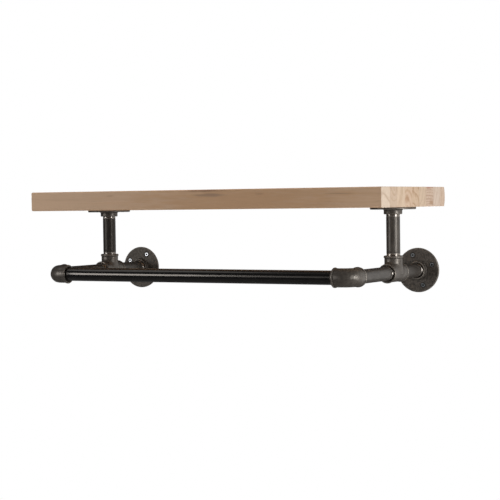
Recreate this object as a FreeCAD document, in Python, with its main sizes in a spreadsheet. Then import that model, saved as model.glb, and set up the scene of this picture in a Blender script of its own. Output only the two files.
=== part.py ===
import FreeCAD, Part
import Sketcher
import os
import re

# Wall-mounted pipe shelf: an edge-glued board on two uprights, with a hanging rail in front.
# The origin lies on the wall plane, midway between the wall flanges, at the height of the arms.
# +X runs along the board, +Y into the wall, +Z up.

SIZES = {
    # pipes and their threads
    "pipe_diameter": 26.67,
    "pipe_wall": 2.87,
    "rail_length": 609.6,
    "arm_length": 152.4,
    "wall_nipple_length": 101.6,
    "upright_length": 101.6,
    "thread_grip": 11.0,
    "thread_shown": 5.0,
    "thread_pitch": 1.814,
    "thread_depth": 0.9,
    # elbows and tees
    "fitting_reach": 33.3,
    "fitting_diameter": 35.0,
    "collar_diameter": 37.6,
    "collar_width": 4.6,
    "bend_radius": 19.5,
    "socket_spare": 1.2,
    "socket_clearance": 0.1,
    "mouth_flare": 2.8,
    # flanges
    "flange_diameter": 88.9,
    "plate_thickness": 4.6,
    "flange_height": 14.0,
    "hub_diameter": 35.6,
    "hub_foot_diameter": 39.0,
    "hub_foot_height": 3.0,
    "hub_lip_width": 3.0,
    "bolt_circle": 63.5,
    "screw_hole_diameter": 6.0,
    # screws
    "screw_diameter": 4.8,
    "screw_point_length": 6.0,
    "screw_tip_diameter": 1.3,
    "screw_length": 25.0,
    "screw_neck_diameter": 5.2,
    "screw_head_diameter": 9.0,
    "screw_head_height": 2.2,
    "screw_slot_width": 1.3,
    "screw_slot_length": 4.6,
    "screw_slot_depth": 1.6,
    "pilot_clearance": 0.1,
    "left_wall_angle": 62.5,
    "right_wall_angle": 20.0,
    "shelf_angle": 34.0,
    # board
    "board_length": 774.0,
    "board_depth": 311.0,
    "board_thickness": 38.0,
    "board_back_gap": 8.0,
    "board_back_crown": 4.0,
    "board_edge_radius": 2.5,
    # how far a cutting tool runs past what it cuts
    "cut_overrun": 2.0,
}
# Glue lines between the staves, counted from the front edge of the board.
STAVE_LINE_SHARES = (0, 0.127, 0.232, 0.349, 0.462, 0.575, 0.687, 0.805, 0.921, 1)
THREAD_TURNS = 4
SCREWS_PER_FLANGE = 4
QUARTER_TURN = 90
FULL_TURN = 360

ALONG_X = FreeCAD.Rotation(FreeCAD.Vector(0, 0, 1), FreeCAD.Vector(1, 0, 0))
ALONG_Y = FreeCAD.Rotation(FreeCAD.Vector(0, 0, 1), FreeCAD.Vector(0, 1, 0))
ALONG_Z = FreeCAD.Rotation()
BACK_ALONG_Y = FreeCAD.Rotation(FreeCAD.Vector(0, 0, 1), FreeCAD.Vector(0, -1, 0))
HUB_TO_ROOM = FreeCAD.Rotation(FreeCAD.Vector(1, 0, 0), QUARTER_TURN)
HUB_DOWN = FreeCAD.Rotation(FreeCAD.Vector(1, 0, 0), 2 * QUARTER_TURN)
SIDES = {"left": -1, "right": 1}

# Distances that follow from the driving sizes.
MADE_UP = "(fitting_reach - thread_grip)"
HALF_SPAN = f"(rail_length / 2 + {MADE_UP})"
FLANGE_MADE_UP = "(flange_height - thread_grip)"
POST_Y = f"(0 - {MADE_UP} - wall_nipple_length - {FLANGE_MADE_UP})"
RAIL_Y = f"({POST_Y} - arm_length - 2 * {MADE_UP})"
BOARD_Z = f"({MADE_UP} + upright_length + {FLANGE_MADE_UP})"
SOCKET_RADIUS = "(pipe_diameter / 2 + socket_clearance)"
SOCKET_DEPTH = "(thread_grip + socket_spare)"
MOUTH_CONE = (SOCKET_RADIUS, f"{SOCKET_RADIUS} + mouth_flare + cut_overrun", "mouth_flare + cut_overrun")
WATERWAY_RADIUS = "(pipe_diameter / 2 - pipe_wall)"
HEAD_SLOPE = "((screw_head_diameter - screw_neck_diameter) / (2 * screw_head_height))"
SINK_DEPTH = f"((screw_head_diameter - screw_hole_diameter) / 2 / {HEAD_SLOPE})"
BOARD_BACK_Y = "(0 - board_back_gap)"
BOARD_FRONT_Y = "(0 - board_back_gap - board_depth)"

doc = FreeCAD.newDocument("pipe_shelf")
sheet = doc.addObject("Spreadsheet::Sheet", "Sizes")
for row, (alias, value) in enumerate(SIZES.items(), start=1):
    sheet.set(f"A{row}", alias)
    sheet.set(f"B{row}", str(value))
    sheet.setAlias(f"B{row}", alias)
doc.recompute()
nodes = {}


def in_sheet(formula):
    """Point each size named in a formula at its cell."""
    return re.sub(r"\b([a-z]+(?:_[a-z]+)+)\b", r"Sizes.\1", formula)


def value_of(formula):
    return float(sheet.evalExpression(in_sheet(formula)))


def bind(item, **formulas):
    for name, formula in formulas.items():
        item.setExpression(name, in_sheet(formula))


def place(item, x="0", y="0", z="0", turn=ALONG_Z):
    item.Placement = FreeCAD.Placement(FreeCAD.Vector(), turn)
    for axis, formula in zip("xyz", (x, y, z)):
        item.setExpression(f"Placement.Base.{axis}", in_sheet(formula))
    return item


def node(label, item):
    item.Label = label
    nodes[label] = item
    return item


def cylinder(name, radius, length, **where):
    item = doc.addObject("Part::Cylinder", name)
    bind(item, Radius=radius, Height=length)
    return place(item, **where)


def cone(name, low_radius, high_radius, length, **where):
    item = doc.addObject("Part::Cone", name)
    bind(item, Radius1=low_radius, Radius2=high_radius, Height=length)
    return place(item, **where)


def ring(name, ring_radius, tube_radius, **where):
    item = doc.addObject("Part::Torus", name)
    bind(item, Radius1=ring_radius, Radius2=tube_radius)
    return place(item, **where)


def block(name, length, width, height, **where):
    item = doc.addObject("Part::Box", name)
    bind(item, Length=length, Width=width, Height=height)
    return place(item, **where)


def joined(name, pieces):
    item = doc.addObject("Part::MultiFuse", name)
    item.Shapes = pieces
    item.Refine = True
    return item


def cut(name, base, tool):
    item = doc.addObject("Part::Cut", name)
    item.Base = base
    item.Tool = tool
    return item


def origin_plane(body, role):
    return next(item for item in body.Origin.OriginFeatures if item.Role == role)


def bound_sketch(body, name, role):
    sketch = body.newObject("Sketcher::SketchObject", name)
    sketch.AttachmentSupport = [(origin_plane(body, role), "")]
    sketch.MapMode = "FlatFace"
    return sketch


def bound_constraint(sketch, kind, *places, formula):
    index = sketch.addConstraint(Sketcher.Constraint(kind, *places, value_of(formula)))
    sketch.setExpression(f"Constraints[{index}]", in_sheet(formula))


def start_of(edge):
    return edge, 1


def end_of(edge):
    return edge, 2


def sketch_origin():
    return -1, 1


def bound_point(sketch, edge, across, up):
    """Hold the start of an edge at its place, measured from the sketch's origin."""
    bound_constraint(sketch, "DistanceX", *sketch_origin(), *start_of(edge), formula=across)
    bound_constraint(sketch, "DistanceY", *sketch_origin(), *start_of(edge), formula=up)


def close_loop(sketch, edge_count):
    for edge in range(edge_count):
        following = (edge + 1) % edge_count
        sketch.addConstraint(Sketcher.Constraint("Coincident", *end_of(edge), *start_of(following)))


def pipe(label, length, **where):
    """A pipe along its own +Z, turned from its half section, with the thread that shows at its fittings."""
    crest = "pipe_diameter / 2"
    root = "(pipe_diameter / 2 - thread_depth)"
    halves = range(2 * THREAD_TURNS + 1)
    steps = [f"(thread_grip + thread_shown - {half} * thread_pitch / 2)" for half in halves]
    zigzag = [(root if half % 2 else crest, height) for half, height in enumerate(steps)]
    corners = [(WATERWAY_RADIUS, "0"), (crest, "0")]
    corners += reversed(zigzag)
    corners += [(radius, f"{length} - {height}") for radius, height in zigzag]
    corners += [(crest, length), (WATERWAY_RADIUS, length)]
    body = doc.addObject("PartDesign::Body", label)
    section = bound_sketch(body, f"{label}_section", "XZ_Plane")
    points = [FreeCAD.Vector(value_of(across), value_of(up), 0) for across, up in corners]
    for first, second in zip(points, points[1:] + points[:1]):
        section.addGeometry(Part.LineSegment(first, second))
    close_loop(section, len(corners))
    for edge, corner in enumerate(corners):
        bound_point(section, edge, *corner)
    turned = body.newObject("PartDesign::Revolution", f"{label}_turned")
    turned.Profile = section
    turned.ReferenceAxis = (section, ["V_Axis"])
    turned.Angle = FULL_TURN
    return node(label, place(body, **where))


def fitting_arm(label, axis, turn, start):
    """One arm of a fitting: its body and collar, and the waterway, socket and flared mouth inside it."""
    along = {"+x": ("x", 1), "+y": ("y", 1), "-y": ("y", -1), "+z": ("z", 1)}[axis]

    def at(distance):
        return {along[0]: f"{along[1]} * ({distance})", "turn": turn}

    name = f"{label}_{axis[1]}{'p' if along[1] > 0 else 'n'}"
    solids = [
        cylinder(f"{name}_body", "fitting_diameter / 2", f"fitting_reach - {start}", **at(start)),
        ring(
            f"{name}_collar",
            "(collar_diameter - collar_width) / 2",
            "collar_width / 2",
            **at("fitting_reach - collar_width / 2"),
        ),
    ]
    hollows = [
        cylinder(f"{name}_waterway", WATERWAY_RADIUS, f"fitting_reach - {start}", **at(start)),
        cylinder(
            f"{name}_socket",
            SOCKET_RADIUS,
            f"{SOCKET_DEPTH} + cut_overrun",
            **at(f"fitting_reach - {SOCKET_DEPTH}"),
        ),
        cone(f"{name}_mouth", *MOUTH_CONE, **at("fitting_reach - mouth_flare")),
    ]
    return solids, hollows


def fitting(label, arms, bend, **where):
    solids = list(bend[0])
    hollows = list(bend[1])
    start = "bend_radius" if solids else "0"
    for axis, turn in arms:
        more_solids, more_hollows = fitting_arm(label, axis, turn, start)
        solids += more_solids
        hollows += more_hollows
    casting = cut(label, joined(f"{label}_casting", solids), joined(f"{label}_hollows", hollows))
    return node(label, place(casting, **where))


def elbow(label, **where):
    """A quarter bend with one arm along its own +X and the other along its own +Y."""
    half_turn = FreeCAD.Rotation(FreeCAD.Vector(0, 0, 1), 2 * QUARTER_TURN)
    bend = []
    for name, radius in (("bend", "fitting_diameter / 2"), ("bend_waterway", WATERWAY_RADIUS)):
        centre = {"x": "bend_radius", "y": "bend_radius"}
        quarter = ring(f"{label}_{name}", "bend_radius", radius, turn=half_turn, **centre)
        quarter.Angle3 = QUARTER_TURN
        bend.append([quarter])
    return fitting(label, (("+x", ALONG_X), ("+y", ALONG_Y)), bend, **where)


def tee(label, **where):
    """A tee with its run along Y and its branch pointing up."""
    arms = (("+y", ALONG_Y), ("-y", BACK_ALONG_Y), ("+z", ALONG_Z))
    return fitting(label, arms, ([], []), **where)


def bolt_places(first_angle):
    """The places of the screws on the bolt circle, counted from the first one's angle."""
    for step in range(SCREWS_PER_FLANGE):
        angle = f"({first_angle} + {step} * {FULL_TURN} / {SCREWS_PER_FLANGE})"
        yield {
            "x": f"bolt_circle / 2 * cos({angle})",
            "y": f"bolt_circle / 2 * sin({angle})",
        }


def flange(label, first_angle, **where):
    """A floor flange with its flat back on its own XY plane and its hub along +Z."""
    rim = "plate_thickness / 2"
    lip = "hub_lip_width / 2"
    solids = [
        cylinder(f"{label}_plate", f"flange_diameter / 2 - {rim}", "plate_thickness"),
        ring(f"{label}_rim", f"flange_diameter / 2 - {rim}", rim, z=rim),
        cone(
            f"{label}_hub_foot",
            "hub_foot_diameter / 2",
            f"hub_diameter / 2 - {lip} / 2",
            "hub_foot_height",
            z="plate_thickness",
        ),
        cylinder(f"{label}_hub", f"hub_diameter / 2 - {lip} / 2", "flange_height"),
        ring(f"{label}_hub_lip", f"hub_diameter / 2 - {lip}", lip, z=f"flange_height - {lip}"),
    ]
    through = {"length": "flange_height + 2 * cut_overrun", "z": "0 - cut_overrun"}
    hollows = [
        cylinder(f"{label}_socket", SOCKET_RADIUS, **through),
        cone(f"{label}_mouth", *MOUTH_CONE, z="flange_height - mouth_flare"),
    ]
    for count, spot in enumerate(bolt_places(first_angle)):
        hollows.append(cylinder(f"{label}_hole_{count}", "screw_hole_diameter / 2", **through, **spot))
        hollows.append(
            cone(
                f"{label}_sink_{count}",
                "screw_hole_diameter / 2",
                f"screw_head_diameter / 2 + cut_overrun * {HEAD_SLOPE}",
                f"{SINK_DEPTH} + cut_overrun",
                z=f"plate_thickness - {SINK_DEPTH}",
                **spot,
            )
        )
    casting = cut(label, joined(f"{label}_casting", solids), joined(f"{label}_hollows", hollows))
    return node(label, place(casting, **where))


def screw(name, spot):
    """A flat-head wood screw, sunk flush with the flange plate, with a cross recess towards +Z."""
    shank = "(screw_length - screw_point_length)"
    solids = [
        cone(
            f"{name}_head",
            "screw_neck_diameter / 2",
            "screw_head_diameter / 2",
            "screw_head_height",
            z="plate_thickness - screw_head_height",
        ),
        cylinder(f"{name}_neck", "screw_neck_diameter / 2", "plate_thickness - screw_head_height"),
        cylinder(f"{name}_shank", "screw_diameter / 2", shank, z=f"plate_thickness - {shank}"),
        cone(
            f"{name}_point",
            "screw_tip_diameter / 2",
            "screw_diameter / 2",
            "screw_point_length",
            z="plate_thickness - screw_length",
        ),
    ]
    slots = []
    for way, (long, wide) in enumerate(
        (("screw_slot_length", "screw_slot_width"), ("screw_slot_width", "screw_slot_length"))
    ):
        slots.append(
            block(
                f"{name}_slot_{way}",
                long,
                wide,
                "screw_slot_depth + cut_overrun",
                x=f"0 - {long} / 2",
                y=f"0 - {wide} / 2",
                z="plate_thickness - screw_slot_depth",
            )
        )
    return place(cut(name, joined(f"{name}_solid", solids), joined(f"{name}_recess", slots)), **spot)


def screws(label, first_angle, **where):
    group = doc.addObject("Part::Compound", label)
    group.Links = [screw(f"{label}_{count}", spot) for count, spot in enumerate(bolt_places(first_angle))]
    return node(label, place(group, **where))


def board_blank():
    """The whole board: an end profile with a crowned back, drawn out along X.

    Its long edges and the edges of its left end are eased, and its right end is cut sharp.
    """
    body = doc.addObject("PartDesign::Body", "board_blank")
    profile = bound_sketch(body, "board_profile", "YZ_Plane")
    top = f"{BOARD_Z} + board_thickness"
    crown_y = f"{BOARD_BACK_Y} - board_back_crown"
    corners = ((BOARD_FRONT_Y, BOARD_Z), (crown_y, BOARD_Z), (crown_y, top), (BOARD_FRONT_Y, top))
    points = [FreeCAD.Vector(value_of(across), value_of(up), 0) for across, up in corners]
    middle = FreeCAD.Vector(value_of(BOARD_BACK_Y), value_of(f"{BOARD_Z} + board_thickness / 2"), 0)
    profile.addGeometry(Part.LineSegment(points[0], points[1]))
    profile.addGeometry(Part.Arc(points[1], middle, points[2]))
    profile.addGeometry(Part.LineSegment(points[2], points[3]))
    profile.addGeometry(Part.LineSegment(points[3], points[0]))
    close_loop(profile, len(corners))
    for edge, corner in enumerate(corners):
        bound_point(profile, edge, *corner)
    crown_radius = "((board_thickness / 2) ^ 2 + board_back_crown ^ 2) / (2 * board_back_crown)"
    bound_constraint(profile, "Radius", 1, formula=crown_radius)
    pad = body.newObject("PartDesign::Pad", "board_length")
    pad.Profile = profile
    pad.Midplane = True
    bind(pad, Length="board_length")
    doc.recompute()
    half_length = value_of("board_length") / 2
    half_depth = value_of("board_depth") / 2
    rounded = []
    for count, edge in enumerate(pad.Shape.Edges, start=1):
        box = edge.BoundBox
        along_board = box.XLength > half_length
        across_left_end = box.XMax < 0 and box.YLength > half_depth
        if along_board or across_left_end:
            rounded.append(f"Edge{count}")
    eased = body.newObject("PartDesign::Fillet", "board_eased_edges")
    eased.Base = (pad, rounded)
    bind(eased, Radius="board_edge_radius")
    body.Tip = eased
    return body


def board():
    """Edge-glued staves, cut from one board so that their faces run on, with pilot holes for the screws."""
    pilots = []
    for side, sign in SIDES.items():
        for count, spot in enumerate(bolt_places("shelf_angle")):
            pilots.append(
                cylinder(
                    f"{side}_pilot_{count}",
                    "screw_diameter / 2 + pilot_clearance",
                    "screw_length - plate_thickness + pilot_clearance + cut_overrun",
                    x=f"{sign} * {HALF_SPAN} + {spot['x']}",
                    y=f"{POST_Y} - {spot['y']}",
                    z=f"{BOARD_Z} - cut_overrun",
                )
            )
    drilled = cut("drilled_board", board_blank(), joined("pilot_holes", pilots))
    last = len(STAVE_LINE_SHARES) - 1
    for count in range(last):
        low, high = (f"board_depth * {share}" for share in STAVE_LINE_SHARES[count : count + 2])
        before = "0 - cut_overrun" if count == 0 else "0"
        after = "cut_overrun" if count == last - 1 else "0"
        slab = block(
            f"stave_slab_{count + 1}",
            "board_length + 2 * cut_overrun",
            f"{high} + ({after}) - {low} - ({before})",
            "board_thickness + 2 * cut_overrun",
            x="0 - board_length / 2 - cut_overrun",
            y=f"{BOARD_FRONT_Y} + {low} + ({before})",
            z=f"{BOARD_Z} - cut_overrun",
        )
        stave = doc.addObject("Part::Common", f"board_stave_{count + 1}")
        stave.Base = drilled
        stave.Tool = slab
        node(f"board_stave_{count + 1}", stave)


def side_frame(side, sign):
    """Wall flange, wall nipple, tee, upright, shelf flange, arm and elbow of one side."""
    post_x = f"{sign} * {HALF_SPAN}"
    wall = {"x": post_x, "turn": HUB_TO_ROOM}
    flange(f"{side}_wall_flange", f"{side}_wall_angle", **wall)
    screws(f"{side}_wall_screws", f"{side}_wall_angle", **wall)
    pipe(f"{side}_wall_nipple", "wall_nipple_length", x=post_x, y=f"{POST_Y} + {MADE_UP}", turn=ALONG_Y)
    tee(f"{side}_tee", x=post_x, y=POST_Y)
    pipe(f"{side}_upright", "upright_length", x=post_x, y=POST_Y, z=MADE_UP)
    shelf = {"x": post_x, "y": POST_Y, "z": BOARD_Z, "turn": HUB_DOWN}
    flange(f"{side}_shelf_flange", "shelf_angle", **shelf)
    screws(f"{side}_shelf_screws", "shelf_angle", **shelf)
    pipe(f"{side}_arm", "arm_length", x=post_x, y=f"{RAIL_Y} + {MADE_UP}", turn=ALONG_Y)
    towards_rail = FreeCAD.Rotation(FreeCAD.Vector(0, 0, 1), QUARTER_TURN) if sign > 0 else ALONG_Z
    elbow(f"{side}_elbow", x=post_x, y=RAIL_Y, turn=towards_rail)


board()
for side_name, side_sign in SIDES.items():
    side_frame(side_name, side_sign)
pipe("hanging_rail", "rail_length", x="0 - rail_length / 2", y=RAIL_Y, turn=ALONG_X)

doc.recompute()
for item in doc.Objects:
    if "Invalid" in item.State or "Error" in item.State:
        raise RuntimeError(f"{item.Name} failed: {item.State}")
for label, item in nodes.items():
    if item.Shape.isNull() or not item.Shape.isValid() or not item.Shape.Solids:
        raise RuntimeError(f"{label} has no valid solid")
os.makedirs("parts", exist_ok=True)
for label, item in nodes.items():
    item.Shape.exportStep(f"parts/{label}.step")
    box = item.Shape.BoundBox
    print(f"{label}: {len(item.Shape.Solids)} solids, {item.Shape.Volume:.0f} mm3")
    for axis, low, high in zip("xyz", (box.XMin, box.YMin, box.ZMin), (box.XMax, box.YMax, box.ZMax)):
        print(f"    {axis} {low:.1f} to {high:.1f}")
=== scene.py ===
import itertools
import math
from collections import namedtuple

import bpy
import numpy as np
from mathutils import Matrix, Vector


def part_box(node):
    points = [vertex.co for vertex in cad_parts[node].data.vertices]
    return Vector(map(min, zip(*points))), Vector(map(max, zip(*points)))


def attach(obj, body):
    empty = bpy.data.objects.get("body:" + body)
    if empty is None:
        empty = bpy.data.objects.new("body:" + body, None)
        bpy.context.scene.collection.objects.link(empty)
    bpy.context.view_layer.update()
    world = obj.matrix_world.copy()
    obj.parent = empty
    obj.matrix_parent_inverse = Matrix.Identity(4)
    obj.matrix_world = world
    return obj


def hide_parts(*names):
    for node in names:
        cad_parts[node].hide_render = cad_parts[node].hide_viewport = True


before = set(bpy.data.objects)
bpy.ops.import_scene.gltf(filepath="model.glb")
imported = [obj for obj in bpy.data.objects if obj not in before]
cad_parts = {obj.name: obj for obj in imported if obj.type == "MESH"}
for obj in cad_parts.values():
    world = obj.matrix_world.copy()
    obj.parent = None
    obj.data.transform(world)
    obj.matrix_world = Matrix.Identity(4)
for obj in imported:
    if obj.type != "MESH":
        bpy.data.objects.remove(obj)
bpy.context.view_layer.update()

scene = bpy.context.scene
X, Y, Z = range(3)
SIDES = ("left", "right")
QUARTER_TURN = math.pi / 2

# Sizes in millimetres, the unit that the castings and screws are shaped in. Places come from the frame.
MM = 0.001
PIPE_RADIUS = 13.335
WATERWAY_RADIUS = 10.465
THREAD_LENGTH = 16.0
THREAD_PITCH = 1.814
THREAD_DEPTH = 0.9

FITTING_REACH = 33.3
FITTING_RADIUS = 17.5
COLLAR_RADIUS = 18.8
COLLAR_WIDTH = 4.6
COLLAR_EDGE = 1.9
BEND_RADIUS = 19.5
CROTCH_BLEND = 7.0
SOCKET_RADIUS = 13.435
SOCKET_DEPTH = 12.2
MOUTH_FLARE = 2.8
MOUTH_EASE = 0.8

FLANGE_RADIUS = 44.45
FLANGE_HEIGHT = 14.0
PLATE_THICKNESS = 4.6
PLATE_EDGE = 1.9
HUB_RADIUS = 17.8
HUB_EDGE = 1.3
HUB_BLEND = 3.0
BOLT_CIRCLE_RADIUS = 31.75
SCREW_HOLE_RADIUS = 3.0
HOLE_EASE = 0.5

SCREW_RADIUS = 2.4
SCREW_ROOT_RADIUS = 1.75
SCREW_NECK_RADIUS = 2.6
SCREW_LENGTH = 25.0
SCREW_PITCH = 2.1
SCREW_POINT_LENGTH = 6.0
SCREW_HEAD_RADIUS = 4.5
SCREW_HEAD_HEIGHT = 2.2
SCREW_SLOT_WIDTH = 1.3
SCREW_SLOT_LENGTH = 4.6
SCREW_SLOT_DEPTH = 1.6
SCREWS_PER_FLANGE = 4
SCREW_ANGLES = {
    "left_wall": math.radians(62.5),
    "right_wall": math.radians(20.0),
    "left_shelf": math.radians(34.0),
    "right_shelf": math.radians(34.0),
}
# Steps of the grids on which the castings and the screws are sampled
CAST_STEP = 0.8
SCREW_STEP = 0.3


def across(axis):
    """The two ways at right angles to an axis."""
    return [way for way in (X, Y, Z) if way != axis]


# Node trees

FLOAT = "NodeSocketFloat"
VECTOR = "NodeSocketVector"
MATERIAL = "NodeSocketMaterial"
SHAPE_ALONE = {"Geometry": "NodeSocketGeometry"}
# The colour sockets of a mix node, by number because their names repeat
MIX_FIRST, MIX_SECOND, MIX_RESULT = 6, 7, 2


class Nodes:
    """Adds nodes to one tree. Most calls wire the inputs of a new node and return its output."""

    def __init__(self, tree):
        self.tree = tree

    def feed(self, socket, value):
        if isinstance(value, bpy.types.NodeSocket):
            self.tree.links.new(value, socket)
        elif value is not None:
            socket.default_value = value

    def set(self, node, **values):
        """Feed inputs of a node by name, with _ for each space."""
        for name, value in values.items():
            self.feed(node.inputs[name.replace("_", " ")], value)

    def add(self, kind, *values, named=None, out=0, **settings):
        node = self.tree.nodes.new(kind)
        for name, setting in settings.items():
            setattr(node, name, setting)
        for socket, value in zip(node.inputs, values):
            self.feed(socket, value)
        for name, value in (named or {}).items():
            self.feed(node.inputs[name], value)
        return node.outputs[out]

    def math(self, operation, first, second=None, clamp=False):
        return self.add("ShaderNodeMath", first, second, operation=operation, use_clamp=clamp)

    def plus(self, first, second):
        return self.math("ADD", first, second)

    def minus(self, first, second):
        return self.math("SUBTRACT", first, second)

    def times(self, first, second, clamp=False):
        return self.math("MULTIPLY", first, second, clamp)

    def share(self, first, second):
        """One value over another, held between 0 and 1."""
        return self.math("DIVIDE", first, second, clamp=True)

    def rest(self, value):
        """What a value leaves of 1."""
        return self.minus(1.0, value)

    def level(self, start, *terms):
        """A starting level plus each value times its weight."""
        for value, weight in terms:
            start = self.plus(start, self.times(value, weight))
        return start

    def vector(self, operation, first, second=None):
        return self.add("ShaderNodeVectorMath", first, second, operation=operation)

    def measure(self, operation, first, second=None):
        return self.vector(operation, first, second).node.outputs["Value"]

    def parts(self, vector):
        return self.add("ShaderNodeSeparateXYZ", vector).node.outputs

    def join(self, x, y, z):
        return self.add("ShaderNodeCombineXYZ", x, y, z)

    def mix(self, mask, first, second, strength=None):
        """A first colour that gives way to a second where the mask, times any strength, is 1."""
        factor = mask if strength is None else self.times(mask, strength)
        node = self.add("ShaderNodeMix", factor, data_type="RGBA").node
        self.feed(node.inputs[MIX_FIRST], first)
        self.feed(node.inputs[MIX_SECOND], second)
        return node.outputs[MIX_RESULT]

    def ramp(self, value, low, high):
        """0 below low, 1 above high, smooth between them."""
        named = {"Value": value, "From Min": low, "From Max": high}
        return self.add("ShaderNodeMapRange", named=named, interpolation_type="SMOOTHSTEP")

    def noise(self, vector, scale, detail=2.0, roughness=0.5, out=0):
        named = {"Vector": vector, "Scale": scale, "Detail": detail, "Roughness": roughness}
        return self.add("ShaderNodeTexNoise", named=named, out=out)

    def swing(self, vector, waves):
        """Noise in three ways, each about zero, with its own number of waves per metre."""
        colour = self.noise(self.vector("MULTIPLY", vector, waves), scale=1.0, detail=3.0, out="Color")
        return self.vector("SUBTRACT", colour, (0.5, 0.5, 0.5))


def new_tree(name, kind, inputs, outputs):
    tree = bpy.data.node_groups.new(name, kind)
    for label, socket in inputs.items():
        tree.interface.new_socket(label, in_out="INPUT", socket_type=socket)
    for label, socket in outputs.items():
        tree.interface.new_socket(label, in_out="OUTPUT", socket_type=socket)
    nodes = Nodes(tree)
    taken = tree.nodes.new("NodeGroupInput").outputs
    given = tree.nodes.new("NodeGroupOutput").inputs
    return tree, nodes, taken, given


# Shared effects of the finishes

def casting_skin():
    """Sand-cast skin: mottled tone, and a grain of fine pits and broader lumps."""
    pit_share = 0.55
    lump_scale_share = 0.3
    inputs = {"Vector": VECTOR, "Mottle Scale": FLOAT, "Grain Scale": FLOAT}
    outputs = {"Mottle": FLOAT, "Grain": FLOAT}
    tree, n, taken, given = new_tree("casting_skin", "ShaderNodeTree", inputs, outputs)
    cloud = n.noise(taken["Vector"], taken["Mottle Scale"], detail=5.0, roughness=0.72)
    n.feed(given["Mottle"], n.ramp(cloud, low=0.36, high=0.66))
    pits = n.noise(taken["Vector"], taken["Grain Scale"], detail=3.0, roughness=0.65)
    lumps = n.noise(taken["Vector"], n.times(taken["Grain Scale"], lump_scale_share), detail=1.0)
    n.feed(given["Grain"], n.plus(n.times(pits, pit_share), n.times(lumps, 1 - pit_share)))
    return tree


def edge_wear():
    """Where handling has rubbed the raised edges bright, broken up unevenly."""
    inputs = {"Vector": VECTOR, "Edge": FLOAT, "Amount": FLOAT}
    tree, n, taken, given = new_tree("edge_wear", "ShaderNodeTree", inputs, {"Wear": FLOAT})
    cloud = n.noise(taken["Vector"], scale=160.0, detail=4.0, roughness=0.65)
    patch = n.ramp(cloud, low=0.3, high=0.62)
    n.feed(given["Wear"], n.times(n.times(taken["Edge"], patch), taken["Amount"], clamp=True))
    return tree


def drawn_streaks():
    """Fine lines and stains along a drawn tube."""
    streak_stretch = 0.04
    stain_stretch = 0.45
    inputs = {"Along": FLOAT, "Around": VECTOR, "Fineness": FLOAT}
    outputs = {"Streak": FLOAT, "Stain": FLOAT}
    tree, n, taken, given = new_tree("drawn_streaks", "ShaderNodeTree", inputs, outputs)
    around = n.parts(taken["Around"])
    fine = n.join(around[X], around[Y], n.times(taken["Along"], streak_stretch))
    n.feed(given["Streak"], n.noise(fine, taken["Fineness"], detail=3.0, roughness=0.6))
    broad = n.join(around[X], around[Y], n.times(taken["Along"], stain_stretch))
    cloud = n.noise(broad, scale=95.0, detail=4.0, roughness=0.6)
    n.feed(given["Stain"], n.ramp(cloud, low=0.36, high=0.66))
    return tree


def wood_growth():
    """Growth rings round a pith that runs along the stave, with fibres and drifting tone."""
    pith_waves = (2.2, 26.0, 26.0)
    season_years = 1.2
    inputs = {"Vector": VECTOR, "Pith Y": FLOAT, "Pith Z": FLOAT, "Ring Width": FLOAT, "Wander": FLOAT}
    outputs = {"Rings": FLOAT, "Bands": FLOAT, "Fibres": FLOAT, "Drift": FLOAT, "Pores": FLOAT}
    tree, n, taken, given = new_tree("wood_growth", "ShaderNodeTree", inputs, outputs)

    def grain(stretch, scale, detail, roughness=0.5):
        """Noise that is drawn out along the stave."""
        drawn = n.vector("MULTIPLY", taken["Vector"], (stretch, 1.0, 1.0))
        return n.noise(drawn, scale, detail, roughness)

    bend = n.parts(n.swing(taken["Vector"], pith_waves))
    place = n.parts(taken["Vector"])
    sideways = n.plus(n.minus(place[Y], taken["Pith Y"]), n.times(bend[X], taken["Wander"]))
    up = n.plus(n.minus(place[Z], taken["Pith Z"]), n.times(bend[Y], taken["Wander"]))
    from_pith = n.measure("LENGTH", n.join(sideways, up, 0.0))
    season = n.noise(n.join(from_pith, taken["Pith Y"], taken["Pith Z"]), scale=90.0)
    years = n.plus(n.math("DIVIDE", from_pith, taken["Ring Width"]), n.times(season, season_years))
    phase = n.math("FRACT", years)
    late = n.times(n.ramp(phase, low=0.45, high=0.85), n.rest(n.ramp(phase, low=0.86, high=1.0)))
    patch = n.ramp(grain(stretch=0.1, scale=110.0, detail=2.0), low=0.2, high=0.6)
    n.feed(given["Rings"], n.times(late, patch))
    n.feed(given["Fibres"], grain(stretch=0.02, scale=1400.0, detail=3.0, roughness=0.6))
    n.feed(given["Bands"], n.ramp(grain(stretch=0.03, scale=150.0, detail=3.0), low=0.35, high=0.7))
    n.feed(given["Drift"], n.ramp(grain(stretch=0.35, scale=16.0, detail=2.0), low=0.3, high=0.7))
    n.feed(given["Pores"], n.ramp(grain(stretch=0.045, scale=900.0, detail=1.0), low=0.66, high=0.74))
    return tree


CASTING_SKIN = casting_skin()
EDGE_WEAR = edge_wear()
DRAWN_STREAKS = drawn_streaks()
WOOD_GROWTH = wood_growth()


# Finishes

WARM_SHINE = (1.0, 0.92, 0.83, 1.0)
# Dark and light iron
EVEN_IRON_TONES = ((0.049, 0.042, 0.036, 1.0), (0.078, 0.067, 0.057, 1.0))
MOTTLED_IRON_TONES = ((0.024, 0.0205, 0.0175, 1.0), (0.090, 0.077, 0.066, 1.0))
WORN_IRON = (0.32, 0.285, 0.25, 1.0)
# Near-black for the painted shade in the hollows of the castings and round their screws
IRON_PAINTED_SHADE = (0.010, 0.009, 0.008, 1.0)
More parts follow.
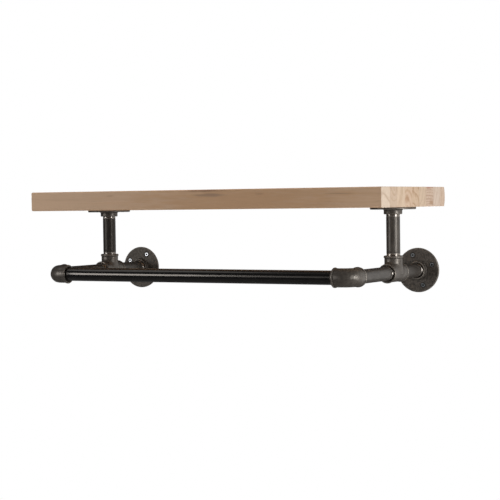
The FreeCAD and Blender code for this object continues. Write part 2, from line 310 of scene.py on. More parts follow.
# Steel, stained steel and the bare crests of its threads
STEEL_TONES = ((0.046, 0.040, 0.035, 1.0), (0.074, 0.065, 0.057, 1.0), (0.44, 0.40, 0.36, 1.0))
# A darker copy of the steel and its thread crests for the left upright: painted shade where the key light
# reaches it less
SHADED_STEEL_TONES = ((0.026, 0.023, 0.020, 1.0), (0.044, 0.038, 0.033, 1.0), (0.40, 0.37, 0.34, 1.0))
LACQUER_TONES = ((0.0055, 0.0055, 0.0062, 1.0), (0.008, 0.008, 0.0085, 1.0))
LACQUERED_THREAD = (0.020, 0.017, 0.014, 1.0)
PALE_WOOD = (0.705, 0.465, 0.291, 1.0)
DARK_WOOD = (0.44, 0.265, 0.150, 1.0)
# Waves per metre in the outline of a blemish, sideways and up, and how far they swing
BLEMISH_WAVES = {X: (20.0, 160.0, 0.0), Y: (90.0, 160.0, 0.0)}
BLEMISH_SWING = (1.2, 1.2, 0.0)


def shade(colour, level):
    return tuple(part * level for part in colour[:3]) + (1.0,)


def new_finish(name):
    material = bpy.data.materials.new(name)
    material.use_nodes = True
    shader = material.node_tree.nodes["Principled BSDF"]
    nodes = Nodes(material.node_tree)
    place = nodes.add("ShaderNodeTexCoord").node.outputs["Object"]
    return material, nodes, shader, place


def group(nodes, tree, **inputs):
    node = nodes.tree.nodes.new("ShaderNodeGroup")
    node.node_tree = tree
    nodes.set(node, **inputs)
    return node.outputs


def attribute(nodes, name):
    return nodes.add("ShaderNodeAttribute", attribute_name=name).node.outputs["Fac"]


def raised(nodes, height, distance, strength):
    named = {"Strength": strength, "Distance": distance, "Height": height}
    return nodes.add("ShaderNodeBump", named=named)


def streaks_along(nodes, place, axis, fineness):
    """The drawn streaks of a tube that lies along an axis."""
    xyz = nodes.parts(place)
    first, second = across(axis)
    around = nodes.join(xyz[first], xyz[second], 0.0)
    return group(nodes, DRAWN_STREAKS, Along=xyz[axis], Around=around, Fineness=fineness)


def cast_iron(name, dark, light, mottle_scale, roughness, gloss):
    """Sandy dark casting, rubbed bright along its edges, with painted shade in its hollows and round its
    screws.
    """
    material, n, shader, place = new_finish(name)
    skin = group(n, CASTING_SKIN, Vector=place, Mottle_Scale=mottle_scale, Grain_Scale=800.0)
    seat = attribute(n, "seat")
    edge = n.times(attribute(n, "edge"), n.rest(seat))
    wear = group(n, EDGE_WEAR, Vector=place, Edge=edge, Amount=0.75)["Wear"]
    tone = n.mix(skin["Mottle"], dark, light)
    # Painted shade: the hollows and the seats round the screws are darkened
    tone = n.mix(n.math("MAXIMUM", attribute(n, "hollow"), seat), tone, IRON_PAINTED_SHADE, strength=0.8)
    n.set(
        shader,
        Base_Color=n.mix(wear, tone, WORN_IRON),
        Roughness=n.level(roughness, (skin["Grain"], 0.22), (seat, 0.3)),
        Metallic=n.level(0.1, (wear, 0.8)),
        Specular_IOR_Level=gloss,
        Specular_Tint=WARM_SHINE,
        Normal=raised(n, skin["Grain"], distance=0.4 * MM, strength=0.6),
    )
    return material


def pipe_steel(name, axis, base, stain, thread, gloss):
    """Dark mill-finish pipe whose cut threads show bright steel."""
    material, n, shader, place = new_finish(name)
    marks = streaks_along(n, place, axis, fineness=420.0)
    tone = n.mix(marks["Stain"], base, stain)
    tone = n.mix(marks["Streak"], tone, shade(base, 0.5), strength=0.5)
    bright = n.times(attribute(n, "thread"), n.ramp(attribute(n, "crest"), low=0.1, high=0.6))
    n.set(
        shader,
        Base_Color=n.mix(bright, tone, thread),
        Roughness=n.level(0.26, (marks["Streak"], 0.2), (bright, -0.12)),
        Metallic=bright,
        Specular_IOR_Level=gloss,
        Specular_Tint=WARM_SHINE,
        Normal=raised(n, marks["Streak"], distance=0.06 * MM, strength=0.5),
    )
    return material


def black_lacquer(name, axis):
    """Glossy black tube, with the lines of the drawn steel faintly under the lacquer."""
    material, n, shader, place = new_finish(name)
    marks = streaks_along(n, place, axis, fineness=260.0)
    dull = n.times(attribute(n, "thread"), 0.9)
    n.set(
        shader,
        Base_Color=n.mix(dull, n.mix(marks["Stain"], *LACQUER_TONES), LACQUERED_THREAD),
        Roughness=n.level(0.10, (marks["Streak"], 0.10), (dull, 0.35)),
        Specular_Tint=WARM_SHINE,
        Normal=raised(n, marks["Streak"], distance=0.004 * MM, strength=0.2),
    )
    return material


def zinc(name, tone, grime):
    """Plated screw, with painted shade in its cross recess and round its rim."""
    material, n, shader, place = new_finish(name)
    cloud = n.noise(place, scale=700.0, detail=3.0)
    shine = n.mix(n.ramp(cloud, low=0.3, high=0.7), tone, shade(tone, 0.78))
    # Painted shade: the cross recess, the centre and the rim of the head turn near-black and lose their
    # shine
    painted_shade_mask = attribute(n, "grime")
    n.set(
        shader,
        Base_Color=n.mix(painted_shade_mask, shine, grime),
        Roughness=n.level(0.3, (cloud, 0.15)),
        Metallic=n.level(1.0, (painted_shade_mask, -0.9)),
    )
    return material


def blemish(nodes, place, way, mark):
    """Mask of a knot or a streak of heartwood, placed by its height and by one other way, X or Y."""
    xyz = nodes.parts(place)
    flat = nodes.join(xyz[way], xyz[Z], 0.0)
    wavy = nodes.vector("MULTIPLY", nodes.swing(flat, BLEMISH_WAVES[way]), BLEMISH_SWING)
    apart = nodes.vector("SUBTRACT", flat, (*mark.spot, 0.0))
    apart = nodes.vector("DIVIDE", apart, (*mark.reach, 1.0))
    far = nodes.measure("LENGTH", nodes.vector("ADD", apart, wavy))
    return nodes.rest(nodes.ramp(far, low=0.15, high=1.0))


def stave_wood(name, pith, stave, glue_lines, front_marks, end_marks):
    """Wood with rings on its ends, fibres along its sides and a thin line where it is glued."""
    material, n, shader, place = new_finish(name)
    growth = group(
        n, WOOD_GROWTH,
        Vector=place, Pith_Y=pith[0], Pith_Z=pith[1], Ring_Width=stave.ring_width, Wander=stave.wander,
    )
    pale, dark = shade(PALE_WOOD, stave.tint), shade(DARK_WOOD, stave.tint)
    side = n.mix(growth["Rings"], pale, dark, strength=0.2)
    side = n.mix(growth["Drift"], side, dark, strength=0.15)
    side = n.mix(growth["Bands"], side, dark, strength=0.12)
    for mark in front_marks:
        side = n.mix(blemish(n, place, X, mark), side, mark.colour, mark.strength)
    end = n.mix(growth["Bands"], stave.end_pale, stave.end_dark, strength=0.3)
    end = n.mix(growth["Rings"], end, stave.end_dark)
    for mark in end_marks:
        end = n.mix(blemish(n, place, Y, mark), end, mark.colour, mark.strength)
    facing = n.add("ShaderNodeTexCoord").node.outputs["Normal"]
    end_grain = n.ramp(n.math("ABSOLUTE", n.parts(facing)[X]), low=0.75, high=0.9)
    tone = n.mix(end_grain, side, end)
    fibre = n.ramp(growth["Fibres"], low=0.42, high=0.75)
    tone = n.mix(fibre, tone, shade(dark, 0.62), strength=0.1)
    tone = n.mix(growth["Pores"], tone, shade(dark, 0.4), strength=0.15)
    for line in glue_lines:
        apart = n.math("ABSOLUTE", n.minus(n.parts(place)[Y], line))
        glue = n.rest(n.ramp(apart, low=0.1 * MM, high=0.5 * MM))
        tone = n.mix(glue, tone, shade(dark, 0.6), strength=0.4)
    height = n.plus(growth["Fibres"], growth["Pores"])
    n.set(
        shader,
        Base_Color=tone,
        Roughness=n.level(0.5, (growth["Fibres"], 0.2)),
        Normal=raised(n, height, distance=0.12 * MM, strength=0.25),
    )
    return material


IRON = cast_iron("cast_iron", *EVEN_IRON_TONES, mottle_scale=210.0, roughness=0.27, gloss=0.72)
ROUGH_IRON = cast_iron("rough_iron", *MOTTLED_IRON_TONES, mottle_scale=340.0, roughness=0.46, gloss=0.5)
LEVEL_STEEL = pipe_steel("level_pipe_steel", Y, *STEEL_TONES, gloss=0.4)
UPRIGHT_STEEL = {
    # The left upright's copy is darker and mirrors less: painted shade, where the key light falls off
    "left": pipe_steel("left_pipe_steel", Z, *SHADED_STEEL_TONES, gloss=0.2),
    "right": pipe_steel("right_pipe_steel", Z, *STEEL_TONES, gloss=0.4),
}
LACQUER = black_lacquer("black_lacquer", X)
# Each zinc takes its plated tone and the near-black of the painted shade in its recess
BRIGHT_ZINC = zinc("bright_zinc", (0.60, 0.61, 0.63, 1.0), (0.02, 0.02, 0.024, 1.0))
# A darker copy of the zinc: painted shade on the right wall screws and on the shelf screws
SHADED_ZINC = zinc("dull_zinc", (0.22, 0.235, 0.245, 1.0), (0.02, 0.02, 0.022, 1.0))
SCREW_FINISHES = {
    "left_wall": BRIGHT_ZINC,
    "right_wall": SHADED_ZINC,
    "left_shelf": SHADED_ZINC,
    "right_shelf": SHADED_ZINC,
}


# Trees that make shapes

MERGE_DISTANCE = 0.001 * MM


def end_shape(nodes, shape, taken, given):
    """Give a tree's shape out, realized, in the finish that the tree takes."""
    shape = nodes.add("GeometryNodeRealizeInstances", named={"Geometry": shape})
    shape = nodes.add("GeometryNodeSetMaterial", named={"Geometry": shape, "Material": taken["Finish"]})
    nodes.feed(given["Geometry"], shape)


def threaded_pipe():
    """A tube whose two ends carry a cut thread that fades out towards the plain middle.

    It is a grid, rolled up: many rows along the outside, two along the bore, and one that closes it.
    """
    sides, outer_rows = 72, 210
    inner_high, inner_low, last_row = outer_rows, outer_rows + 1, outer_rows + 2
    half_row = 0.5
    end_share = 0.48
    crest_share = 0.5
    fade_turns = 1.2
    inputs = {
        "Length": FLOAT, "Outer Radius": FLOAT, "Bore Radius": FLOAT, "Thread Length": FLOAT,
        "Thread Pitch": FLOAT, "Thread Depth": FLOAT, "Finish": MATERIAL,
    }
    tree, n, taken, given = new_tree("threaded_pipe", "GeometryNodeTree", inputs, SHAPE_ALONE)
    length, thread, pitch = taken["Length"], taken["Thread Length"], taken["Thread Pitch"]
    named = {"Size X": 1.0, "Size Y": 1.0, "Vertices X": sides + 1, "Vertices Y": last_row + 1}
    tube = n.add("GeometryNodeMeshGrid", named=named)
    place = n.parts(n.add("GeometryNodeInputPosition"))
    turn = n.plus(place[X], 0.5)
    row = n.math("ROUND", n.times(n.plus(place[Y], 0.5), float(last_row)))
    not_closing = n.rest(n.math("GREATER_THAN", row, inner_low + half_row))
    inside = n.times(n.math("GREATER_THAN", row, inner_high - half_row), not_closing)

    outer = n.times(n.share(row, outer_rows - 1.0), not_closing)
    plain = n.minus(length, n.times(thread, 2.0))
    along = n.level(
        0.0,
        (thread, n.share(outer, end_share)),
        (plain, n.share(n.minus(outer, end_share), 1 - 2 * end_share)),
        (thread, n.share(n.minus(outer, 1 - end_share), end_share)),
    )
    from_end = n.math("MINIMUM", along, n.minus(length, along))
    cut = n.share(n.minus(thread, from_end), n.times(pitch, fade_turns))
    wave = n.math("PINGPONG", n.plus(n.math("DIVIDE", along, pitch), turn), 0.5)
    notch = n.share(n.minus(wave, crest_share / 2), (1 - crest_share) / 2)
    groove = n.times(n.times(notch, cut), taken["Thread Depth"])

    radius = n.minus(taken["Outer Radius"], groove)
    radius = n.add("GeometryNodeSwitch", inside, radius, taken["Bore Radius"], input_type="FLOAT")
    inner_along = n.times(length, n.math("LESS_THAN", row, inner_high + half_row))
    along = n.add("GeometryNodeSwitch", inside, along, inner_along, input_type="FLOAT")
    angle = n.times(turn, math.tau)
    spot = n.join(n.times(radius, n.math("COSINE", angle)), n.times(radius, n.math("SINE", angle)), along)
    marks = {"thread": n.times(cut, n.rest(inside)), "crest": n.rest(notch)}
    for label, value in marks.items():
        named = {"Geometry": tube, "Name": label, "Value": value}
        tube = n.add("GeometryNodeStoreNamedAttribute", named=named, data_type="FLOAT", domain="POINT")
    tube = n.add("GeometryNodeSetPosition", named={"Geometry": tube, "Position": spot})
    tube = n.add("GeometryNodeMergeByDistance", named={"Geometry": tube, "Distance": MERGE_DISTANCE})
    end_shape(n, tube, taken, given)
    return tree


def screw_circle():
    """One screw repeated round a bolt circle, each driven to a turn of its own."""
    first_turn, more_turn = 0.5, 0.3
    inputs = {
        "Screw": "NodeSocketObject", "Count": "NodeSocketInt", "Circle Radius": FLOAT,
        "First Angle": FLOAT, "Finish": MATERIAL,
    }
    tree, n, taken, given = new_tree("screw_circle", "GeometryNodeTree", inputs, SHAPE_ALONE)
    named = {"Vertices": taken["Count"], "Radius": taken["Circle Radius"]}
    circle = n.add("GeometryNodeMeshCircle", named=named)
    turn = n.join(0.0, 0.0, taken["First Angle"])
    circle = n.add("GeometryNodeTransform", named={"Geometry": circle, "Rotation": turn})
    shape = n.add("GeometryNodeObjectInfo", named={"Object": taken["Screw"]}).node.outputs["Geometry"]
    own_turn = n.level(first_turn, (n.add("GeometryNodeInputIndex"), more_turn))
    named = {"Points": circle, "Instance": shape, "Rotation": n.join(0.0, 0.0, own_turn)}
    end_shape(n, n.add("GeometryNodeInstanceOnPoints", named=named), taken, given)
    return tree


THREADED_PIPE = threaded_pipe()
SCREW_CIRCLE = screw_circle()


def grown(tree, values):
    """The plain mesh that a tree makes from these values."""
    holder = bpy.data.objects.new(tree.name, bpy.data.meshes.new(tree.name))
    scene.collection.objects.link(holder)
    modifier = holder.modifiers.new(tree.name, "NODES")
    modifier.node_group = tree
    for item in tree.interface.items_tree:
        if item.in_out == "INPUT" and item.name in values:
            modifier[item.identifier] = values[item.name]
    settled = holder.evaluated_get(bpy.context.evaluated_depsgraph_get())
    mesh = bpy.data.meshes.new_from_object(settled)
    bpy.data.objects.remove(holder)
    return mesh


def piece(node, mesh):
    """Show a mesh, already in its place, in the stead of a node."""
    mesh.name = node
    mesh.shade_smooth()
    item = bpy.data.objects.new(f"{node}_shown", mesh)
    scene.collection.objects.link(item)
    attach(item, "root")
    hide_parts(node)


def corners(node):
    return tuple(Vector(corner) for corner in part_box(node))


def middle(node):
    low, high = corners(node)
    return (low + high) / 2


# Pipes

ALONG = {
    X: Matrix.Rotation(QUARTER_TURN, 4, "Y"),
    Y: Matrix.Rotation(-QUARTER_TURN, 4, "X"),
    Z: Matrix.Identity(4),
}


def show_pipe(node, axis, finish):
    low, high = corners(node)
    start = middle(node)
    start[axis] = low[axis]
    values = {
        "Length": high[axis] - low[axis],
        "Outer Radius": PIPE_RADIUS * MM,
        "Bore Radius": WATERWAY_RADIUS * MM,
        "Thread Length": THREAD_LENGTH * MM,
        "Thread Pitch": THREAD_PITCH * MM,
        "Thread Depth": THREAD_DEPTH * MM,
        "Finish": finish,
    }
    mesh = grown(THREADED_PIPE, values)
    mesh.transform(Matrix.Translation(start) @ ALONG[axis])
    piece(node, mesh)


show_pipe("hanging_rail", X, LACQUER)
for side in SIDES:
    show_pipe(f"{side}_upright", Z, UPRIGHT_STEEL[side])
    show_pipe(f"{side}_arm", Y, LEVEL_STEEL)
    show_pipe(f"{side}_wall_nipple", Y, LEVEL_STEEL)


# Castings and screws, shaped as distance fields in millimetres

# The slight unevenness that a sand mould leaves, as a sum of waves
RIPPLE_WAVES = 9
RIPPLE_HEIGHT = 0.05
RIPPLE_LENGTHS = (5.0, 14.0)
RIPPLE_SEED = 7
ripple_source = np.random.default_rng(RIPPLE_SEED)
RIPPLE_WAYS = ripple_source.normal(size=(RIPPLE_WAVES, 3))
RIPPLE_WAYS /= np.linalg.norm(RIPPLE_WAYS, axis=1)[:, None]
RIPPLE_TURNS = math.tau / ripple_source.uniform(*RIPPLE_LENGTHS, size=RIPPLE_WAVES)
RIPPLE_STARTS = ripple_source.uniform(0, math.tau, size=RIPPLE_WAVES)
# The thread's steep flanks make its field steeper than a true distance.
SCREW_FIELD_SCALE = 0.85


def blend(first, second, reach):
    """The union of two distances, filleted over a reach."""
    share = np.clip(0.5 + 0.5 * (second - first) / reach, 0, 1)
    return second * (1 - share) + first * share - reach * share * (1 - share)


def carve(solid, hollow, ease):
    return -blend(-solid, hollow, ease)


def from_axis(spots, axis):
    first, second = across(axis)
    return np.hypot(spots[..., first], spots[..., second])


def round_bar(spots, axis, radius, low, high, edge=0.0):
    """Distance to a round bar along an axis, with its end edges rounded."""
    radial = from_axis(spots, axis) - radius + edge
    along = np.abs(spots[..., axis] - (low + high) / 2) - (high - low) / 2 + edge
    outside = np.hypot(np.maximum(radial, 0), np.maximum(along, 0))
    return np.minimum(np.maximum(radial, along), 0) + outside - edge


def sand_ripple(spots):
    total = np.zeros(spots.shape[:-1])
    for way, turns, start in zip(RIPPLE_WAYS, RIPPLE_TURNS, RIPPLE_STARTS):
        total += np.sin(spots @ way * turns + start)
    return RIPPLE_HEIGHT * total / math.sqrt(RIPPLE_WAVES)


def collar(spots, axis, sign):
    ends = sorted((sign * (FITTING_REACH - COLLAR_WIDTH), sign * FITTING_REACH))
    return round_bar(spots, axis, COLLAR_RADIUS, *ends, edge=COLLAR_EDGE)


def flare(spots, axis, sign, face):
    """Distance to the cone of 45 degrees that widens a socket towards its mouth."""
    radius = SOCKET_RADIUS + MOUTH_FLARE + sign * spots[..., axis] - face
    return (from_axis(spots, axis) - radius) * math.sqrt(0.5)


def socket(spots, axis, sign):
    ends = sorted((sign * (FITTING_REACH - SOCKET_DEPTH), sign * 2 * FITTING_REACH))
    bore = round_bar(spots, axis, SOCKET_RADIUS, *ends)
    return np.minimum(bore, flare(spots, axis, sign, FITTING_REACH))


def with_mouths(spots, solid, hollow, mouths):
    """A fitting's casting, once each of its mouths has a collar and a socket."""
    for axis, sign in mouths:
        solid = blend(solid, collar(spots, axis, sign), MOUTH_EASE)
        hollow = np.minimum(hollow, socket(spots, axis, sign))
    return carve(solid + sand_ripple(spots), hollow, MOUTH_EASE)


def tee_shape(spots):
    run = round_bar(spots, Y, FITTING_RADIUS, -FITTING_REACH, FITTING_REACH)
    branch = round_bar(spots, Z, FITTING_RADIUS, 0, FITTING_REACH)
    hollow = np.minimum(
        round_bar(spots, Y, WATERWAY_RADIUS, -2 * FITTING_REACH, 2 * FITTING_REACH),
        round_bar(spots, Z, WATERWAY_RADIUS, 0, 2 * FITTING_REACH),
    )
    return with_mouths(spots, blend(run, branch, CROTCH_BLEND), hollow, ((Y, 1), (Y, -1), (Z, 1)))


def bend_tube(spots, radius, reach):
    """Distance to a quarter bend between an arm along +X and an arm along +Y."""
    x, y, z = (spots[..., way] for way in (X, Y, Z))
    arc = np.hypot(np.hypot(x - BEND_RADIUS, y - BEND_RADIUS) - BEND_RADIUS, z)
    arms = np.where(x > y, np.hypot(y, z), np.hypot(x, z))
    to_axis = np.where((x < BEND_RADIUS) & (y < BEND_RADIUS), arc, arms)
    return np.maximum(to_axis - radius, np.maximum(x, y) - reach)


def elbow_shape(spots):
    solid = bend_tube(spots, FITTING_RADIUS, FITTING_REACH)
    hollow = bend_tube(spots, WATERWAY_RADIUS, 2 * FITTING_REACH)
    return with_mouths(spots, solid, hollow, ((X, 1), (Y, 1)))


def screw_places(first_angle):
    for step in range(SCREWS_PER_FLANGE):
        angle = first_angle + step * math.tau / SCREWS_PER_FLANGE
        yield np.array((math.cos(angle), math.sin(angle), 0)) * BOLT_CIRCLE_RADIUS


def sink_cone(spots):
    """Distance to the endless cone whose section at z = 0 is a screw's flat head."""
    slope = (SCREW_HEAD_RADIUS - SCREW_NECK_RADIUS) / SCREW_HEAD_HEIGHT
    radius = SCREW_HEAD_RADIUS + spots[..., Z] * slope
    return (from_axis(spots, Z) - radius) / math.hypot(1, slope)


def flange_shape(first_angle):
    def shape(spots):
        plate = round_bar(spots, Z, FLANGE_RADIUS, 0, PLATE_THICKNESS, edge=PLATE_EDGE)
        hub = round_bar(spots, Z, HUB_RADIUS, 0, FLANGE_HEIGHT, edge=HUB_EDGE)
        solid = blend(plate, hub, HUB_BLEND) + sand_ripple(spots) * (spots[..., Z] > 0)
        bore = round_bar(spots, Z, SOCKET_RADIUS, -FLANGE_HEIGHT, 2 * FLANGE_HEIGHT)
        solid = carve(solid, np.minimum(bore, flare(spots, Z, 1, FLANGE_HEIGHT)), MOUTH_EASE)
        for centre in screw_places(first_angle):
            hole = round_bar(spots - centre, Z, SCREW_HOLE_RADIUS, -FLANGE_HEIGHT, 2 * FLANGE_HEIGHT)
            sink = sink_cone(spots - centre - np.array((0, 0, PLATE_THICKNESS)))
            solid = carve(solid, np.minimum(hole, sink), HOLE_EASE)
        return solid

    return shape


def slot_bars(x, y):
    """Distances to the two bars of a screw's cross recess."""
    for a, b in ((x, y), (y, x)):
        yield np.maximum(np.abs(a) - SCREW_SLOT_LENGTH / 2, np.abs(b) - SCREW_SLOT_WIDTH / 2)


def screw_shape(spots):
    """A flat-head cross-recess wood screw: its head is flush with the plane z = 0, its point is below."""
    x, y, z = (spots[..., way] for way in (X, Y, Z))
    head = np.maximum(np.maximum(sink_cone(spots), z), -SCREW_HEAD_HEIGHT - z)
    recess = np.maximum(np.minimum(*slot_bars(x, y)), -SCREW_SLOT_DEPTH - z)
    wave = np.abs(np.mod(z / SCREW_PITCH - np.arctan2(y, x) / math.tau, 1.0) - 0.5) * 2
    taper = np.clip((z + SCREW_LENGTH) / SCREW_POINT_LENGTH, 0.0, 1.0)
    threaded = (SCREW_ROOT_RADIUS + (SCREW_RADIUS - SCREW_ROOT_RADIUS) * wave**2) * taper
    past_ends = np.maximum(z + SCREW_HEAD_HEIGHT, -SCREW_LENGTH - z)
    shank = np.maximum(np.hypot(x, y) - threaded, past_ends) * SCREW_FIELD_SCALE
    neck = round_bar(spots, Z, SCREW_NECK_RADIUS, -PLATE_THICKNESS, -SCREW_SLOT_DEPTH)
    return carve(np.minimum(np.minimum(head, neck), shank), recess, SCREW_STEP)


# Meshes of the distance fields

MARGIN_STEPS = 2
SETTLING_ROUNDS = 3
FLATTEST_SLOPE = 0.3
# Shares of a grid step: how far to look for the slope and for the bend, and the most that a point moves
SLOPE_REACH_SHARE = 0.125
CURVE_REACH_SHARE = 0.5
MOVE_SHARE = 0.5
# Bends, per millimetre, over which a raised edge or a hollow comes in
EDGE_CURVE = (0.22, 0.65)
HOLLOW_CURVE = (0.10, 0.55)
# Distances, in millimetres, over which the marks of painted shade on a flange and on a screw fade
SEAT_FADE = (5.3, 6.3)
CROSS_FADE = (0.0, 0.3)
CENTRE_FADE = (1.3, 1.9)
RIM_FADE = (3.3, 3.8)


def surface_net(field):
    """Quads that enclose the part of a sampled field that is below zero, in steps of the grid."""
    inside = field < 0
    cells = tuple(size - 1 for size in field.shape)
    total = np.zeros(cells + (3,))
    count = np.zeros(cells)
    for axis in (X, Y, Z):
        first, second = across(axis)
        turned = np.moveaxis(field, axis, 0)
        near, far = turned[:-1], turned[1:]
        crossed = (near < 0) != (far < 0)
        share = np.where(crossed, near / np.where(crossed, near - far, 1.0), 0.0)
        for a, b in itertools.product((0, 1), repeat=2):
            window = (slice(None), slice(a, a + cells[first]), slice(b, b + cells[second]))
            hit = np.moveaxis(crossed[window], 0, axis)
            total[..., axis] += np.moveaxis(share[window], 0, axis)
            total[..., first] += a * hit
            total[..., second] += b * hit
            count += hit
    used = count > 0
    index = np.full(cells, -1)
    index[used] = np.arange(used.sum())
    corner = np.stack(np.nonzero(used), axis=-1)
    points = corner + total[used] / count[used][:, None]
    quads = []
    for axis in (X, Y, Z):
        order = (axis, (axis + 1) % 3, (axis + 2) % 3)
        state = np.transpose(inside, order)
        numbers = np.transpose(index, order)
        for leaving in (True, False):
            edge = (state[:-1] == leaving) & (state[1:] != leaving)
            a, b, c = np.nonzero(edge[:, 1:-1, 1:-1])
            ring = [numbers[a, b + i, c + j] for i, j in ((0, 0), (1, 0), (1, 1), (0, 1))]
            quads.append(np.stack(ring if leaving else ring[::-1], axis=-1))
    return points, np.concatenate(quads)


def steepest(shape, spots, reach):
    """A field's value, its gradient, and its sum of second differences, which is how its surface bends."""
    here = shape(spots)
    slope = np.zeros_like(spots)
    curve = np.zeros(len(spots))
    for way in (X, Y, Z):
        step = np.zeros(3)
        step[way] = reach
        ahead, behind = shape(spots + step), shape(spots - step)
        slope[:, way] = (ahead - behind) / (2 * reach)
        curve += (ahead + behind - 2 * here) / reach**2
    return here, slope, curve


def rise(value, low, high):
    return np.clip((value - low) / (high - low), 0, 1)


def screw_seats(first_angle):
    """Marks a flange round each of its screws, where shade is painted and the finish is rougher."""
    def mark(points):
        apart = [np.hypot(*(points - centre)[:, :Z].T) for centre in screw_places(first_angle)]
        return 1 - rise(np.min(apart, axis=0), *SEAT_FADE)

    return mark


def screw_painted_shade(points):
    """Marks a screw's cross recess and the rim of its head, where shade is painted."""
    x, y, _ = points.T
    radial = np.hypot(x, y)
    cross = np.minimum(*slot_bars(x, y))
    marked = [1 - rise(cross, *CROSS_FADE), 1 - rise(radial, *CENTRE_FADE), rise(radial, *RIM_FADE)]
    return np.max(marked, axis=0)


def shaped(name, shape, low, high, step, finish, **marks):
    """The mesh of a distance field, with its raised edges, its hollows and any further marks."""
    margin = MARGIN_STEPS * step
    axes = [np.arange(a - margin, b + margin + step, step) for a, b in zip(low, high)]
    spots = np.stack(np.meshgrid(*axes, indexing="ij"), axis=-1)
    points, quads = surface_net(shape(spots))
    points = points * step + np.array([axis[0] for axis in axes])
    for _ in range(SETTLING_ROUNDS):
        here, slope, _ = steepest(shape, points, step * SLOPE_REACH_SHARE)
        pull = here / np.maximum((slope**2).sum(axis=1), FLATTEST_SLOPE)
        points -= np.clip(pull, -step * MOVE_SHARE, step * MOVE_SHARE)[:, None] * slope
    _, _, curve = steepest(shape, points, step * CURVE_REACH_SHARE)
    mesh = bpy.data.meshes.new(name)
    mesh.from_pydata((points * MM).tolist(), [], quads.tolist())
    values = {"edge": rise(curve, *EDGE_CURVE), "hollow": rise(-curve, *HOLLOW_CURVE)}
    for label, mark in marks.items():
        values[label] = mark(points)
    for label, value in values.items():
        mesh.attributes.new(label, "FLOAT", "POINT").data.foreach_set("value", value)
    mesh.materials.append(finish)
    mesh.update()
    return mesh


# Places of the castings and screws

HUB_TO_ROOM = Matrix.Rotation(QUARTER_TURN, 4, "X")
HUB_DOWN = Matrix.Rotation(2 * QUARTER_TURN, 4, "X")
TOWARDS_RAIL = {"left": Matrix.Identity(4), "right": Matrix.Rotation(QUARTER_TURN, 4, "Z")}
FLANGE_FINISHES = {"wall": ROUGH_IRON, "shelf": IRON}
RAIL_AXIS = middle("hanging_rail")
WALL_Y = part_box("left_wall_flange")[1][Y]
BOARD_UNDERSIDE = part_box("board_stave_1")[0][Z]
TEE_ROOM_BELOW = 1.0


def standing(place, turn):
    return Matrix.Translation(place) @ turn


tee_mesh = shaped(
    "tee", tee_shape,
    (-COLLAR_RADIUS, -FITTING_REACH, -FITTING_RADIUS - TEE_ROOM_BELOW),
    (COLLAR_RADIUS, FITTING_REACH, FITTING_REACH),
    CAST_STEP, IRON,
)
elbow_mesh = shaped(
    "elbow", elbow_shape,
    (-COLLAR_RADIUS, -COLLAR_RADIUS, -COLLAR_RADIUS), (FITTING_REACH, FITTING_REACH, COLLAR_RADIUS),
    CAST_STEP, IRON,
)
screw_mesh = shaped(
    "screw", screw_shape,
    (-SCREW_HEAD_RADIUS, -SCREW_HEAD_RADIUS, -SCREW_LENGTH), (SCREW_HEAD_RADIUS, SCREW_HEAD_RADIUS, 0),
    SCREW_STEP, BRIGHT_ZINC, grime=screw_painted_shade,
)
screw_model = bpy.data.objects.new("screw", screw_mesh)
scene.collection.objects.link(screw_model)

for side in SIDES:
    upright = middle(f"{side}_upright")
    tee = tee_mesh.copy()
    tee.transform(Matrix.Translation((upright.x, upright.y, RAIL_AXIS.z)))
    piece(f"{side}_tee", tee)
    elbow = elbow_mesh.copy()
    elbow.transform(standing((upright.x, RAIL_AXIS.y, RAIL_AXIS.z), TOWARDS_RAIL[side]))
    piece(f"{side}_elbow", elbow)
    seats = {
        "wall": standing((upright.x, WALL_Y, RAIL_AXIS.z), HUB_TO_ROOM),
        "shelf": standing((upright.x, upright.y, BOARD_UNDERSIDE), HUB_DOWN),
    }
    for use, seat in seats.items():
        first_angle = SCREW_ANGLES[f"{side}_{use}"]
        flange = shaped(
            f"{side}_{use}_flange", flange_shape(first_angle),
            (-FLANGE_RADIUS, -FLANGE_RADIUS, 0), (FLANGE_RADIUS, FLANGE_RADIUS, FLANGE_HEIGHT),
            CAST_STEP, FLANGE_FINISHES[use], seat=screw_seats(first_angle),
        )
        flange.transform(seat)
        piece(f"{side}_{use}_flange", flange)
        values = {
            "Screw": screw_model,
            "Count": SCREWS_PER_FLANGE,
            "Circle Radius": BOLT_CIRCLE_RADIUS * MM,
            "First Angle": first_angle,
            "Finish": SCREW_FINISHES[f"{side}_{use}"],
        }
        screws = grown(SCREW_CIRCLE, values)
        screws.transform(seat @ Matrix.Translation((0, 0, PLATE_THICKNESS * MM)))
        piece(f"{side}_{use}_screws", screws)
bpy.data.objects.remove(screw_model)


# Board, in metres

